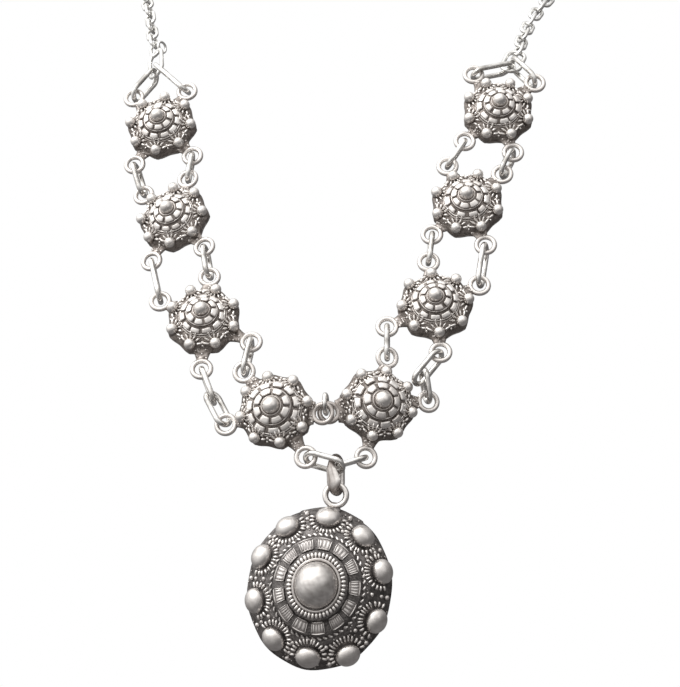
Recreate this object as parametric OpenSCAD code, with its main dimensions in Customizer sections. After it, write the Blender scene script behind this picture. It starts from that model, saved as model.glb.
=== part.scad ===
// Filigree button necklace, in the form it takes when worn. Millimetres.
// Eight small domed buttons are linked by jump rings, an oval domed pendant hangs under them,
// and a fine cable chain closes the loop behind. The front faces -Y, +Z is up, and the origin
// is at the nape, where the chain lies on the back of the neck.

/* [Small buttons] */
// Radius of the ring of eight balls
ball_ring_r = 5.7; // [5.5:0.05:5.8]
// Height of the balls' centres above the button's back
ball_z = 2.3; // [2.1:0.05:2.5]
// Radius of one ball
ball_r = 0.88; // [0.8:0.01:0.9]
// Radius of the ball at the top of the dome
boss_r = 1.45; // [1.3:0.05:1.5]
// Height of that ball's centre above the button's back
boss_z = 4.9; // [4.6:0.05:5.1]
// Thickness of the flat back plate
back_t = 0.7; // [0.5:0.05:0.8]

/* [Eyelets] */
// Radius of an eyelet, to the middle of its wire
eye_r = 1.57; // [1.55:0.01:1.62]
// Radius of an eyelet's wire
eye_wire_r = 0.43; // [0.4:0.01:0.44]
// Height of the eyelets' plane above the button's back
eye_z = 0.7; // [0.6:0.05:0.8]

/* [Jump rings] */
// Radius of a jump ring's wire
ring_wire_r = 0.47; // [0.42:0.01:0.48]
// Half the width of an oval ring, to the middle of its wire
ring_half_w = 1.55; // [1.52:0.01:1.58]
// How far a ring's end may lie off the middle of an eyelet's hole
ring_play = 0.45; // [0.4:0.01:0.5]

/* [Bail] */
// Radius of the bail's wire
bail_wire_r = 0.6; // [0.57:0.01:0.62]
// Half the width of the bail, to the middle of its wire
bail_half_w = 1.95; // [1.93:0.01:1.98]
// Length of the bail, to the middle of its wire
bail_len = 5.8; // [5.7:0.05:5.9]
// Turn of the bail about the vertical, away from edge-on
bail_turn = 20; // [18:1:22]

/* [Pendant] */
// Half the height of the oval ring of ten balls
pend_ball_a = 11.5; // [11.4:0.05:11.6]
// Width of the pendant over its height
pend_oval = 0.905; // [0.89:0.005:0.92]
// Radius of one of the ten balls
pend_ball_r = 2; // [1.9:0.05:2.1]
// Radius of the large ball at the top of the dome
pend_boss_r = 3.95; // [3.8:0.05:4]
// Height of that ball's centre above the pendant's back
pend_boss_z = 7.3; // [7.1:0.05:7.5]
// Lean of the hanging pendant, its lower end towards -X
pend_lean = 10; // [8:1:12]

/* [Chain] */
// Outer diameter of the cable chain
chain_d = 2.4; // [2.2:0.1:2.6]

/* [Hidden] */
$fn = 48;
front = [0, -112, -122]; // the centre of the row of buttons, from the nape

// Columns of the button table. Places are from the front centre, X across, Y back, Z up. Lean is
// the face tipped upwards, turn is the face swung towards +X, balls is the angle of the first
// ball, and ears holds [angle, reach] of the eyelets: two above, then two below or inward.
X = 0; Y = 1; Z = 2; LEAN = 3; TURN = 4; BALLS = 5; EARS = 6;
BUTTONS = [
    [-32.2, 16.6, 54.6, 15,  -2,  -4, [[131, 9.0], [ 62, 8.8], [-120, 9.0], [ -46, 8.9]]],
    [-28.3, 10.7, 35.5, 17, -10,   4, [[140, 8.7], [ 80, 8.5], [-111, 9.0], [ -44, 8.9]]],
    [-21.6,  3.7, 15.5, 19,   2,  25, [[153, 8.8], [ 87, 8.8], [ -89, 9.4], [ -27, 9.4]]],
    [ -8.3, -1.6, -0.9,  7,  -4,  12, [[-166, 8.6], [129, 8.9], [ -56, 9.5], [  -4, 8.0]]],
    [  8.2,  2.0,  0.4,  6,  17, -14, [[  6, 8.9], [ 77, 8.6], [-104, 9.2], [-170, 8.5]]],
    [ 18.2,  4.9, 17.6, 17,   2,   6, [[ 28, 8.6], [ 97, 8.8], [ -85, 8.8], [-155, 9.1]]],
    [ 23.9, 10.8, 36.9, 16,  -1,  25, [[ 45, 8.8], [113, 8.9], [ -69, 8.7], [-137, 8.5]]],
    [ 29.6, 16.0, 55.5, 14,   4,  21, [[ 42, 9.4], [117, 9.2], [ -74, 8.7], [-136, 8.6]]],
];
L1 = 0; L2 = 1; L3 = 2; L4 = 3; R4 = 4; R3 = 5; R2 = 6; R1 = 7;
TOP_OUT = 0; TOP_IN = 1; LOW_OUT = 2; LOW_IN = 3;
SIDE_OUT = 0; BELOW = 2; CENTRE = 3; // the ears of the two lowest buttons

// Steps of a button's dome, [radius, height], from the rim to the foot of the top ball
DOME = [[6.05, 0], [6.05, 1.2], [5.1, 2.5], [4.1, 3.0], [4.0, 3.5], [2.7, 4.2], [2.5, 4.7], [1.2, 4.9]];
dome_wall = 0.85; // thickness of the cast wall over the closed hollow
column_r = 0.8; // the post that carries a ball down the rim
neck_r = 0.5; // the stub that joins an eyelet to the rim
neck_root = 0.8; // how far the stub starts inside the rim

// Directions and places
function unit(v) = v / norm(v);
function across(v, n) = unit(n - (n * v) * v); // the part of n that is square to the unit vector v
function rot_x(p, a) = [p[0], p[1]*cos(a) - p[2]*sin(a), p[1]*sin(a) + p[2]*cos(a)];
function rot_z(p, a) = [p[0]*cos(a) - p[1]*sin(a), p[0]*sin(a) + p[1]*cos(a), p[2]];
function face(p, lean, turn) = rot_z(rot_x(p, 90 - lean), turn);
function place_of(b) = front + [b[X], b[Y], b[Z]];
function out_of(b) = face([0, 0, 1], b[LEAN], b[TURN]);
function ear(i, k) =
    let (b = BUTTONS[i], e = b[EARS][k])
    place_of(b) + face([e[1]*cos(e[0]), e[1]*sin(e[0]), eye_z], b[LEAN], b[TURN]);

// The two places of a ring's end wires between the holes p and q: the ring keeps its own length
// where the play in the holes allows it
function taut(p, q, len) =
    let (d = norm(q - p), s = d + max(-2*ring_play, min(2*ring_play, len - d)), m = (p + q) / 2,
         u = unit(q - p))
    [m - u*s/2, m + u*s/2];

// A ring's straight sides are a hair thinner than its bends and run a little way into them
seam = 0.1;
seam_step = 0.01;

// Shapes that repeat
module torus(r, wire, angle = 360) {
    rotate_extrude(angle = angle) translate([r, 0]) circle(wire);
}

// An oval ring in the XY plane, long along X; len and half_w are to the middle of the wire
module oval_ring(len, half_w, wire) {
    straight = len/2 - half_w;
    for (side = [0, 180]) rotate(side) {
        translate([straight, 0, 0]) rotate(-90) torus(half_w, wire, 180);
        translate([-straight - seam, half_w, 0]) rotate([0, 90, 0])
            cylinder(r = wire - seam_step, h = 2*(straight + seam));
    }
}

// Draws its children with their X axis along u and their Y axis along w, about the place p
module aim(p, u, w) {
    v = cross(u, w);
    multmatrix([
        [u[0], w[0], v[0], p[0]],
        [u[1], w[1], v[1], p[1]],
        [u[2], w[2], v[2], p[2]],
        [0, 0, 0, 1],
    ]) children();
}

// An oval ring with its end wires at e[0] and e[1]. Untilted it stands square to the buttons it
// joins, whose outward direction is n.
module ring_at(e, n, tilt, half_w = ring_half_w, wire = ring_wire_r) {
    u = unit(e[1] - e[0]);
    a = across(u, n);
    aim((e[0] + e[1]) / 2, u, a*cos(tilt) + cross(u, a)*sin(tilt))
        oval_ring(norm(e[1] - e[0]), half_w, wire);
}

// Small buttons
module button_solid(balls, ears) {
    difference() {
        union() {
            rotate_extrude() polygon(concat([[0, 0]], DOME, [[0, DOME[len(DOME) - 1][1]]]));
            translate([0, 0, boss_z]) sphere(boss_r);
            for (i = [0:7]) rotate(balls + 45*i) translate([ball_ring_r, 0, 0]) {
                cylinder(r = column_r, h = ball_z);
                translate([0, 0, ball_z]) sphere(ball_r);
            }
            for (e = ears) rotate(e[0]) translate([0, 0, eye_z]) {
                translate([e[1], 0, 0]) torus(eye_r, eye_wire_r);
                translate([DOME[0][0] - neck_root, 0, 0]) rotate([0, 90, 0])
                    cylinder(r = neck_r, h = e[1] - eye_r - DOME[0][0] + neck_root);
            }
        }
        rotate_extrude() polygon(concat(
            [[0, back_t], [DOME[0][0] - dome_wall, back_t]],
            [for (k = [2, 4, 6]) DOME[k] - [dome_wall, dome_wall]],
            [[0, DOME[6][1] - dome_wall]]));
    }
}
module button(i) {
    b = BUTTONS[i];
    color("silver") translate(place_of(b)) rotate([90 - b[LEAN], 0, b[TURN]])
        button_solid(b[BALLS], b[EARS]);
}

// Jump rings between the buttons, ear to ear
module link_ring(i, ear_i, j, ear_j, len, tilt, half_w = ring_half_w) {
    color("gainsboro") ring_at(taut(ear(i, ear_i), ear(j, ear_j), len),
        out_of(BUTTONS[i]) + out_of(BUTTONS[j]), tilt, half_w);
}

// The outer pair of rings between the third and fourth buttons hooks together. These are the far
// end of the upper ring and the far end of the lower one.
MEET_L = [front + [-18.9, -1.05, 0.95], front + [-19.7, -0.85, 2.6]];
MEET_R = [front + [14.8, 1.5, 4.25], front + [16.1, 2.85, 6.85]];
meet_half_w = 1.45;
module upper_ring(i, meet, tilt) {
    color("gainsboro") ring_at([ear(i, LOW_OUT), meet[0]], out_of(BUTTONS[i]), tilt, meet_half_w);
}
module lower_ring(i, meet, tilt) {
    color("gainsboro") ring_at([meet[1], ear(i, SIDE_OUT)], out_of(BUTTONS[i]), tilt, meet_half_w);
}

// The oval ring at the centre stands edge-on in the eyelets of the two lowest buttons
centre_len = 4.2;
centre_half_w = 1.5;
centre_wire_r = 0.4;
module centre_ring() {
    middle = (ear(L4, CENTRE) + ear(R4, CENTRE)) / 2;
    color("gainsboro") translate(middle + [0, 0, centre_half_w]) aim([0, 0, 0], [0, 1, 0], [0, 0, 1])
        oval_ring(centre_len, centre_half_w, centre_wire_r);
}

// The bail hangs edge-on in two drop rings, and the pendant's loop hangs in the bail
bail_top = front + [1.8, -2.2, -10.5]; // the middle of the bail's upper bend
bail_low = bail_top - [0, 0, bail_len - 2*bail_half_w]; // the middle of its lower bend
hang = bail_low - [0, 0, bail_half_w]; // where the pendant's loop hangs, in the bail's lower wire
module bail() {
    color("dimgray") translate((bail_top + bail_low) / 2) rotate([0, 0, -bail_turn])
        rotate([0, 90, 0]) oval_ring(bail_len, bail_half_w, bail_wire_r);
}

// A drop ring reaches from a lowest eyelet to just past the bail's wire
drop_half_w = 1.4;
module drop_ring(i, end, tilt) {
    color("gainsboro") ring_at([ear(i, BELOW), front + end], out_of(BUTTONS[i]), tilt, drop_half_w);
}

// Pendant
loop_r = 1.72; // to the middle of its wire
loop_wire_r = 0.5;
loop_gap = 0.15; // between the loop's inside and the bail's wire
loop_z = 1.6; // height of the loop's plane above the pendant's back
loop_neck_r = 0.7; // the stub that joins the loop to the rim
loop_neck_len = 1;
rim_gap = 0.25; // between the rim and the middle of the loop's wire
loop_hang = loop_r - loop_wire_r - bail_wire_r - loop_gap;
rim_a = 13.2; // half the height of the rim
pend_drop = loop_hang + loop_r + rim_a + rim_gap; // from the bail's wire down to the pendant's middle
// Steps of the pendant's dome on its long axis, [radius, height]
PEND_DOME = [[rim_a, 0], [rim_a, 1.6], [12.3, 2.6], [9.9, 3.9], [9.2, 4.9], [8.0, 5.4], [7.7, 6.2],
    [5.7, 6.9], [5.5, 7.5], [3.5, 7.6]];
pend_wall = 1.1; // thickness of the cast wall over the closed hollow
pend_rim_wall = 1.43;
pend_ball_z = 3.3; // height of the ten balls' centres above the pendant's back
module pendant_dome() {
    scale([pend_oval, 1, 1]) rotate_extrude($fn = 96)
        polygon(concat([[0, 0]], PEND_DOME, [[0, PEND_DOME[len(PEND_DOME) - 1][1]]]));
}
module pendant_hollow() {
    scale([pend_oval, 1, 1]) rotate_extrude($fn = 96) polygon(concat(
        [[0, pend_wall], [rim_a - pend_rim_wall, pend_wall]],
        [for (k = [3, 5, 7]) PEND_DOME[k] - [pend_wall, pend_wall]],
        [[0, PEND_DOME[7][1] - pend_wall]]));
}
module pendant() {
    color("silver") translate(hang) rotate([90, 0, 0]) rotate(-pend_lean) translate([0, 0, -loop_z]) {
        difference() {
            union() {
                translate([0, -pend_drop, 0]) {
                    pendant_dome();
                    translate([0, 0, pend_boss_z]) sphere(pend_boss_r);
                    for (i = [0:9]) rotate(90 + 36*i)
                        translate([0, 0, pend_ball_z]) ball_on_oval(36*i);
                }
                translate([0, -loop_hang, loop_z]) torus(loop_r, loop_wire_r);
                translate([0, -loop_hang - loop_r - loop_neck_len, loop_z]) rotate([-90, 0, 0])
                    cylinder(r = loop_neck_r, h = loop_neck_len);
            }
            translate([0, -pend_drop, 0]) pendant_hollow();
        }
    }
}
// A ball on the oval at the angle a from the pendant's top
module ball_on_oval(a) {
    r = pend_ball_a / sqrt(pow(cos(a), 2) + pow(sin(a) / pend_oval, 2));
    translate([r, 0, 0]) sphere(pend_ball_r);
}

// The chain's end link holds two top rings on each side, one a little above the other
END_L = [front + [-34.5, 20.6, 66.75], front + [-35.7, 25, 72.8]]; // the link's lower and upper bends
END_R = [front + [31.9, 20.4, 65.4], front + [33.7, 24.6, 70.4]];
end_half_w = 1.7;
end_wire_r = 0.4;
top_half_w = 1.55;
module end_link(ends, turn) {
    color("gainsboro") ring_at(ends, [0, -1, 0.2], turn, end_half_w, end_wire_r);
}
module top_ring(i, k, end, tilt) {
    color("gainsboro") ring_at([ear(i, k), front + end], out_of(BUTTONS[i]), tilt, top_half_w);
}

// The chain, one tube a side along its true route, from the end link round the neck to the clasp
ROUTE_L = [
    [-36, -86.4, -48.2], [-37.2, -83, -44.2], [-38.5, -79, -39.6], [-40.4, -74, -33.5], [-45.5, -64, -24.5],
    [-51, -51, -17], [-54, -37, -11], [-52.5, -23.5, -6.3], [-45, -11.5, -2.6], [-31.5, -3, -0.5],
    [-17, -0.3, 0], [-7, 0, 0],
];
ROUTE_R = [
    [34, -86.6, -50.7], [34.9, -83, -47], [36.8, -78, -41.6], [39.8, -72.5, -35.8], [45.5, -63, -26.5],
    [51, -51, -18], [54, -37, -11.5], [52.5, -23.5, -6.5], [45, -11.5, -2.6], [31.5, -3, -0.5],
    [17, -0.3, 0], [4.1, 0, 0],
];
STEPS = 2; // rings of the tube in each stretch of its route
SIDES = 8;
function spline(a, b, c, d, t) =
    ((2*b) + (c - a)*t + (2*a - 5*b + 4*c - d)*t*t + (3*b - a - 3*c + d)*t*t*t) / 2;
function along(route) =
    let (n = len(route), p = concat([2*route[0] - route[1]], route, [2*route[n - 1] - route[n - 2]]))
    concat([for (i = [0:n - 2], s = [0:STEPS - 1]) spline(p[i], p[i + 1], p[i + 2], p[i + 3], s/STEPS)],
        [route[n - 1]]);
module tube(route, d) {
    path = along(route);
    n = len(path);
    points = [for (i = [0:n - 1])
        let (t = unit(path[min(i + 1, n - 1)] - path[max(i - 1, 0)]),
             a = across(t, [0, 0, 1]), b = cross(t, a))
        for (s = [0:SIDES - 1]) path[i] + d/2*(cos(360*s/SIDES)*a + sin(360*s/SIDES)*b)];
    faces = concat(
        [[for (s = [0:SIDES - 1]) s]],
        [for (i = [0:n - 2], s = [0:SIDES - 1]) let (q = i*SIDES, r = (s + 1) % SIDES)
            [q + s, q + SIDES + s, q + SIDES + r, q + r]],
        [[for (s = [SIDES - 1:-1:0]) (n - 1)*SIDES + s]]);
    polyhedron(points, faces, convexity = 6);
}
module chain_left() { color("gainsboro") tube(ROUTE_L, chain_d); }
module chain_right() { color("gainsboro") tube(ROUTE_R, chain_d); }

// The clasp at the nape, a plain spring ring, and the ring that it holds
clasp_r = 2.5;
clasp_wire_r = 0.65;
clasp_at = [-1.2, 0, 0];
clasp_eye_r = 0.95;
clasp_eye_wire_r = 0.35;
clasp_weld = 0.1; // how far the eye runs into the clasp's ring
lever_r = 0.45;
lever_len = 1.7;
lever_at = 70; // the lever's place round the ring
hold_r = 1.6;
hold_wire_r = 0.4;
hold_gap = 0.15; // between the clasp's wire and the ring that it holds
module clasp() {
    color("silver") translate(clasp_at) rotate([90, 0, 0]) {
        torus(clasp_r, clasp_wire_r);
        translate([-clasp_r - clasp_wire_r - clasp_eye_r + clasp_weld, 0, 0])
            torus(clasp_eye_r, clasp_eye_wire_r);
        rotate(lever_at) translate([clasp_r, 0, 0]) rotate([0, 90, 0])
            cylinder(r = lever_r, h = lever_len);
    }
}
module clasp_ring() {
    x = clasp_at[0] + clasp_r - clasp_wire_r - hold_wire_r - hold_gap + hold_r;
    color("gainsboro") translate([x, 0, 0]) torus(hold_r, hold_wire_r);
}

button(L1);  // button_l1
button(L2);  // button_l2
button(L3);  // button_l3
button(L4);  // button_l4
button(R4);  // button_r4
button(R3);  // button_r3
button(R2);  // button_r2
button(R1);  // button_r1
link_ring(L1, LOW_OUT, L2, TOP_OUT, 6.6, 8);  // ring_l12_out
link_ring(L1, LOW_IN, L2, TOP_IN, 5.5, -12);  // ring_l12_in
link_ring(L2, LOW_OUT, L3, TOP_OUT, 9.0, -5);  // ring_l23_out
link_ring(L2, LOW_IN, L3, TOP_IN, 6.1, 8);  // ring_l23_in
link_ring(L3, LOW_IN, L4, TOP_IN, 6.9, 1, 1.6);  // ring_l34_in
upper_ring(L3, MEET_L, -2);  // ring_l34_upper
lower_ring(L4, MEET_L, 36);  // ring_l34_lower
link_ring(R1, LOW_OUT, R2, TOP_OUT, 5.5, 12);  // ring_r12_out
link_ring(R1, LOW_IN, R2, TOP_IN, 6.0, -12);  // ring_r12_in
link_ring(R2, LOW_OUT, R3, TOP_OUT, 7.8, 12);  // ring_r23_out
link_ring(R2, LOW_IN, R3, TOP_IN, 5.8, -8);  // ring_r23_in
link_ring(R3, LOW_IN, R4, TOP_IN, 5.7, 8);  // ring_r34_in
upper_ring(R3, MEET_R, 19);  // ring_r34_upper
lower_ring(R4, MEET_R, 0);  // ring_r34_lower
centre_ring();  // ring_centre
drop_ring(L4, [3.0, -3.9, -10.4], -35);  // drop_ring_left
drop_ring(R4, [0.6, -0.75, -10.2], -5);  // drop_ring_right
bail();
pendant();
top_ring(L1, TOP_OUT, [-34.83, 21.8, 67.43], -12);  // top_ring_l_out
top_ring(L1, TOP_IN, [-34.45, 21.22, 68.69], -19);  // top_ring_l_in
top_ring(R1, TOP_OUT, [32.6, 21.2, 67.3], 7);  // top_ring_r_out
top_ring(R1, TOP_IN, [32.1, 21, 66.2], 1);  // top_ring_r_in
end_link(END_L, 52);  // end_link_left
end_link(END_R, -94);  // end_link_right
chain_left();
chain_right();
clasp();
clasp_ring();
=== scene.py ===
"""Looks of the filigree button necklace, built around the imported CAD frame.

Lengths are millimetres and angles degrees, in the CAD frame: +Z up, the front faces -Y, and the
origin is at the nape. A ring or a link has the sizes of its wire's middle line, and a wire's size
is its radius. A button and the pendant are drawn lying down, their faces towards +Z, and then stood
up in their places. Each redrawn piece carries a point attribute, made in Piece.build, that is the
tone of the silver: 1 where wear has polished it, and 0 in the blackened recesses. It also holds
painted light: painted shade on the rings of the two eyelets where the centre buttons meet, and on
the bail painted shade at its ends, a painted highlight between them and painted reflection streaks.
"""
import math
from typing import NamedTuple

import bpy
import numpy as np
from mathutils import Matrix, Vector


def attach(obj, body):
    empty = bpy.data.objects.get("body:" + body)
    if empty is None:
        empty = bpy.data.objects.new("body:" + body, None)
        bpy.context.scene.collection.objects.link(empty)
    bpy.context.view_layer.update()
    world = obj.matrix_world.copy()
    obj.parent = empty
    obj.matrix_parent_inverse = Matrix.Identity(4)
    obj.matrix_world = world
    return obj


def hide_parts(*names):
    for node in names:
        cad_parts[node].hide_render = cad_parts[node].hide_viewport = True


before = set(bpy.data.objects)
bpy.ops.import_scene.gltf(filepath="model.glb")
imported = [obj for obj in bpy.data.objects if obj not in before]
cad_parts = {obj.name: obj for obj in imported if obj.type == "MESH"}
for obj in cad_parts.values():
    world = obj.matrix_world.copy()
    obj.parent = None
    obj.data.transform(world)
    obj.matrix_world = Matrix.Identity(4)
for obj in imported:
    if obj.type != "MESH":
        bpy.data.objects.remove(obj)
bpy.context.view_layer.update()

MM = 0.001
FRONT = np.array([0.0, -112.0, -122.0])  # the centre of the row of buttons
X_AXIS, Y_AXIS, Z_AXIS = np.eye(3)


# Directions and noise

def unit(v):
    v = np.asarray(v, float)
    return v / np.linalg.norm(v)


def across(v, n):
    """The part of n that is square to the unit vector v, as a unit vector."""
    n = np.asarray(n, float)
    return unit(n - (n @ v) * v)


def along(path):
    """The unit direction of a closed path at each of its points."""
    ahead = np.roll(path, -1, 0) - np.roll(path, 1, 0)
    return ahead / np.linalg.norm(ahead, axis=1)[:, None]


def circle(count):
    """Evenly spaced angles round a circle, in radians."""
    return np.arange(count) * 2 * math.pi / count


def turned_x(p, angle):
    """The points p, turned about the X axis."""
    x, y, z = np.moveaxis(p, -1, 0)
    cos, sin = math.cos(math.radians(angle)), math.sin(math.radians(angle))
    return np.stack([x, y * cos - z * sin, y * sin + z * cos], -1)


def turned_z(p, angle):
    """The points p, turned about the Z axis."""
    x, y, z = np.moveaxis(p, -1, 0)
    cos, sin = math.cos(math.radians(angle)), math.sin(math.radians(angle))
    return np.stack([x * cos - y * sin, x * sin + y * cos, z], -1)


def noise(p, scale, seed):
    """A cheap smooth noise in [-1, 1] made of waves within waves, the same on each run."""
    x, y, z = (p[..., i] * scale + seed * (1.7 + i) for i in range(3))  # each axis has its own seed
    first = np.sin(x * 1.3 + 2.1 * np.sin(y * 1.7 + z))
    second = np.sin(y * 1.9 + 1.7 * np.sin(z * 1.3 + x))
    third = np.sin(z * 1.6 + 1.9 * np.sin(x * 1.5 + y))
    return (first + second + third) / 3


def clouds(p, look, seed):
    """Noise of the depth and the scale in look, such as SKIN_CLOUDS."""
    depth, scale = look
    return depth * noise(p, scale, seed)


# Shapes that repeat

class Piece:
    """Gathers the surfaces of one piece: its points, their tones, and its faces."""

    def __init__(self):
        self.points = []
        self.tones = []
        self.faces = []
        self.count = 0

    def grid(self, p, tone, first=False, last=False):
        """Adds closed rings of points, p[ring, point]. first and last close that end with a fan."""
        rows, cols = p.shape[:2]
        tone = np.broadcast_to(tone, (rows, cols)).astype(float)
        here = self.count + np.arange(rows * cols).reshape(rows, cols)
        beside = np.roll(here, -1, 1)
        quads = np.stack([here[:-1], beside[:-1], beside[1:], here[1:]], -1)
        self.points.append(p.reshape(-1, 3))
        self.tones.append(tone.reshape(-1))
        self.faces.extend(quads.reshape(-1, 4).tolist())
        self.count += rows * cols
        if first:
            self.fan(p[0], tone[0], beside[0], here[0])
        if last:
            self.fan(p[-1], tone[-1], here[-1], beside[-1])

    def fan(self, ring, tone, starts, ends):
        """Closes a ring with triangles round its middle."""
        hub = self.count
        self.points.append(ring.mean(0)[None])
        self.tones.append(np.array([tone.mean()]))
        self.faces.extend([a, b, hub] for a, b in zip(starts.tolist(), ends.tolist()))
        self.count += 1

    def build(self, name, place=lambda p: p):
        """Makes the object. place takes the points from where they were drawn to the frame."""
        p = place(np.concatenate(self.points))
        mesh = bpy.data.meshes.new(name)
        mesh.from_pydata((p * MM).tolist(), [], self.faces)
        mesh.polygons.foreach_set("use_smooth", [True] * len(mesh.polygons))
        # the tone of the silver, which also holds painted shade and painted highlights
        wear_and_light = mesh.attributes.new("wear_and_light", "FLOAT", "POINT")
        wear_and_light.data.foreach_set("value", np.concatenate(self.tones))
        mesh.update()
        obj = bpy.data.objects.new(name, mesh)
        bpy.context.scene.collection.objects.link(obj)
        return obj


BALL_SHADE = ((-60.5, 2.5), (0.1, 1.0))  # latitudes and tones: dark at the foot, full from the waist
MOTTLE_SCALE, MOTTLE_SEED = 2.2, 6.0


def ball(piece, centre, radii, tone, axes=np.eye(3), rows=17, cols=28, mottle=0.0):
    """A ball that darkens towards its foot. mottle is how much its tone varies."""
    degrees = np.linspace(-90, 90, rows)[1:-1]
    lat = np.radians(degrees)[:, None]
    lon = circle(cols)
    out = np.cos(lat)
    way = np.stack([out * np.cos(lon), out * np.sin(lon), np.repeat(np.sin(lat), cols, 1)], -1)
    p = np.asarray(centre, float) + (way * np.asarray(radii, float)) @ np.asarray(axes, float)
    shade = np.interp(degrees, *BALL_SHADE)[:, None]
    piece.grid(p, shade * (tone + mottle * noise(p, MOTTLE_SCALE, MOTTLE_SEED)), first=True, last=True)


def granule(piece, centre, size, tone, rows=7, cols=9):
    ball(piece, centre, (size,) * 3, tone, rows=rows, cols=cols)


def torus(piece, centre, u, w, radius, wire, tone, around=48, sides=12):
    """A ring of wire about centre, in the plane of u and w."""
    u, w = unit(u), unit(w)
    a, b = circle(around), circle(sides)
    out = np.cos(a)[:, None] * u + np.sin(a)[:, None] * w
    section = np.cos(b)[None, :, None] * out[:, None, :] + np.sin(b)[None, :, None] * np.cross(u, w)
    p = np.asarray(centre, float) + radius * out[:, None, :] + wire * section
    piece.grid(np.concatenate([p, p[:1]]), tone)


def tube(piece, path, wire, tone, sides=12):
    """A wire of round section along a closed path that lies near one plane."""
    path = np.asarray(path, float)
    ahead = along(path)
    normal = np.linalg.svd(path - path.mean(0))[2][2]  # of the plane that the path lies near
    a = np.array([across(v, normal) for v in ahead])
    b = np.cross(ahead, a)
    angle = circle(sides)
    section = np.cos(angle)[None, :, None] * a[:, None, :] + np.sin(angle)[None, :, None] * b[:, None, :]
    p = path[:, None, :] + wire * section
    piece.grid(np.concatenate([p, p[:1]]), tone)


def link_path(u, w, middle, half_len, half_w, bend=12):
    """The wire's middle line in an oval link, long along u. bend is the points round each end."""
    angle = np.linspace(-math.pi / 2, math.pi / 2, bend)
    x = half_len - half_w + half_w * np.cos(angle)
    y = half_w * np.sin(angle)
    return middle + np.concatenate([x, -x])[:, None] * u + np.concatenate([y, -y])[:, None] * w


PAD_ROWS = np.array([0.25, 0.5, 0.7, 0.84, 0.93, 0.98, 1.0, 1.0])  # out to a pad's edge, then its foot
PAD_SINK = 0.25  # how far the foot goes into the ground
PAD_FADE = 1.6  # how fast a pad darkens from its crown to its edge


def pad(piece, place, half_a, half_b, height, corner=4.0, crown=3.0, cols=20, low=0.1, high=1.0):
    """A rounded block, with the tone low at its edge and high on its crown.

    place(a, b, h) gives the point at the plan offsets a and b and the height h. A larger corner
    squares the block's outline, and a larger crown flattens its top.
    """
    angle = circle(cols)
    reach = (np.abs(np.cos(angle)) ** corner + np.abs(np.sin(angle)) ** corner) ** (-1 / corner)
    share = PAD_ROWS[:, None]
    a = share * (reach * np.cos(angle)) * half_a
    b = share * (reach * np.sin(angle)) * half_b
    rise = np.repeat((1 - share ** crown) ** (1 / crown), cols, 1)
    h = rise * height
    h[-1] = -PAD_SINK
    tone = low + (high - low) * rise ** PAD_FADE
    tone[-1] = 0
    piece.grid(place(a, b, h)[::-1], tone[::-1], last=True)


def polar_pad(piece, dome, radius, angle, half_r, half_angle, height, lift=0.0, slant=0.0, **look):
    """A pad on the dome whose sides follow its radii and rings.

    lift raises it off the ground, and slant is how far it moves outwards for each degree along.
    """
    def place(a, b, h):
        return dome.polar(radius + a + slant * b, angle + b, lift + h)
    pad(piece, place, half_r, half_angle, height, **look)


def straight_pad(piece, dome, middle, way, half_a, half_b, height, **look):
    """A pad on the dome about the plan point middle, with its length along the unit vector way."""
    def place(a, b, h):
        return dome.at(middle[0] + a * way[0] - b * way[1], middle[1] + a * way[1] + b * way[0], h)
    pad(piece, place, half_a, half_b, height, **look)


FINE_STEPS = 400  # steps of the profile for its slope
SOFTEN = 25  # steps to each side over which the slope is softened, so that blocks lean gently
FIRST_RING = 0.02  # the innermost ring of the ground, as a share of its radius
RING_SPREAD = 0.9  # below 1, the ground's rings lie closer together outwards
WALL_STEPS, WALL_TAPER = 5, 0.012  # rings down the wall, and how much it narrows to its foot
BACK_RINGS = np.concatenate([[1.0, 0.93], np.linspace(0.9, 0.05, 18)])  # as shares of the outline
BACK_EDGE_RINGS = 2  # the rest of the back is dished
BACK_DISH = 0.12
GRANULE_LIFT = 0.02  # how far a granule's middle is above the ground
# Noise on the ground, [depth, scale], finer with a larger scale. The depth of SKIN_CLOUDS is a share
# of the ground's own tone.
ROUGH_SCALE = 7.0
SKIN_CLOUDS = (0.9, 9.0)
WALL_CLOUDS = (0.2, 4.0)
BROAD_BACK_CLOUDS, FINE_BACK_CLOUDS = (0.14, 0.5), (0.08, 2.3)
WALL_POLISH = 2.2  # the wall's tone over the ground's
BACK_TONE = 0.72


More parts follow.
